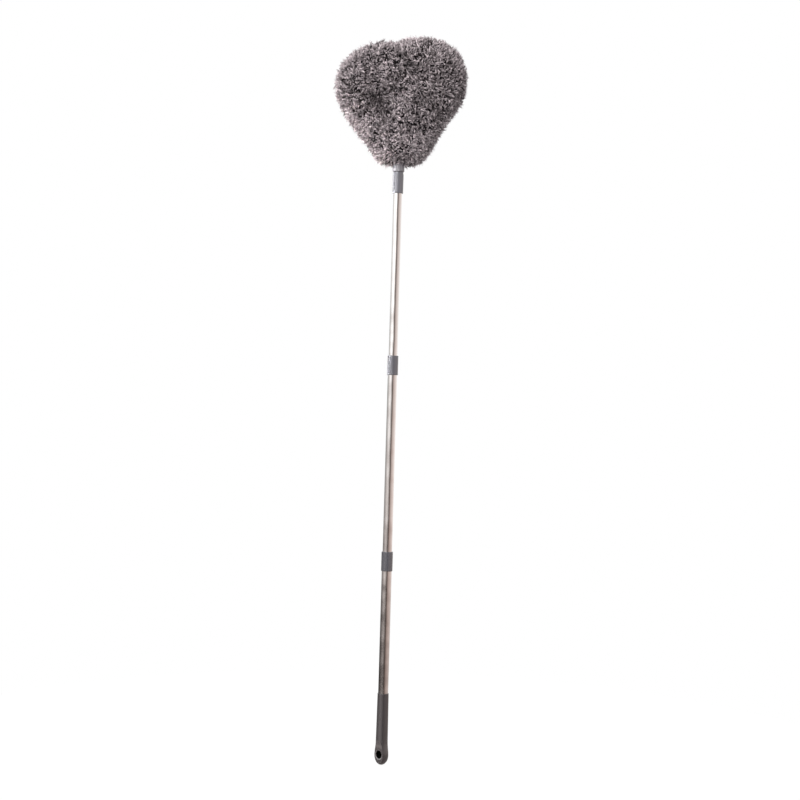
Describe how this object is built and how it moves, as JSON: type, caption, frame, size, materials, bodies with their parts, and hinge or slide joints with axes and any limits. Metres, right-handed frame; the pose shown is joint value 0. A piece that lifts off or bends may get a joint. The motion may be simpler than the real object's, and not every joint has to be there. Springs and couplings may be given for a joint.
{
  "type": "telescopic duster",
  "caption": "Long-handled duster: telescoping steel pole with twist locks, moulded grip with a hang eye, and a screw-on heart-shaped head of soft fibre on twisted wire.",
  "frame": {"origin": "on the pole's axis at the middle of the hand's hold on the grip", "axes": "+Z along the pole, towards the fibre head; Y along the axis of the hang eye's hole; the flat of the head is turned 46 degrees about Z from the X axis"},
  "size_m": [0.2233, 0.2273, 1.4619],
  "materials": {
    "grip_plastic": "satin",
    "grey_plastic": "satin",
    "lock_plastic": "satin",
    "tube_steel": "polished",
    "wire_steel": "satin",
    "fibre": "matte"
  },
  "bodies": {
    "handle_section": {"handle_grip": "grip_plastic", "bottom_tube": "tube_steel", "lower_ferrule": "grey_plastic"},
    "lower_lock": {"lower_lock_ring": "lock_plastic"},
    "middle_section": {"lower_lock_plug": "lock_plastic", "middle_tube": "tube_steel", "upper_ferrule": "grey_plastic"},
    "upper_lock": {"upper_lock_ring": "lock_plastic"},
    "top_section": {"upper_lock_plug": "lock_plastic", "top_tube": "tube_steel", "top_connector": "grey_plastic"},
    "head": {"head_socket": "grey_plastic", "crimp_sleeve": "wire_steel", "wire_strand_a": "wire_steel", "wire_strand_b": "wire_steel", "fibre_pile": "fibre"}
  },
  "joints": [
    {"name": "lower_slide", "type": "slide", "parent": "handle_section", "child": "lower_lock", "axis": [0, 0, 1], "range_m": [-0.305, 0]},
    {"name": "lower_twist", "type": "hinge", "parent": "lower_lock", "child": "middle_section", "pos_m": [0, 0, 0.273], "axis": [0, 0, 1], "range_deg": [0, 90]},
    {"name": "upper_slide", "type": "slide", "parent": "middle_section", "child": "upper_lock", "axis": [0, 0, 1], "range_m": [-0.324, 0]},
    {"name": "upper_twist", "type": "hinge", "parent": "upper_lock", "child": "top_section", "pos_m": [0, 0, 0.665], "axis": [0, 0, 1], "range_deg": [0, 90]},
    {"name": "head_screw", "type": "hinge", "parent": "top_section", "child": "head", "pos_m": [0, 0, 1.102], "axis": [0, 0, 1], "range_deg": [0, 1620]}
  ]
}
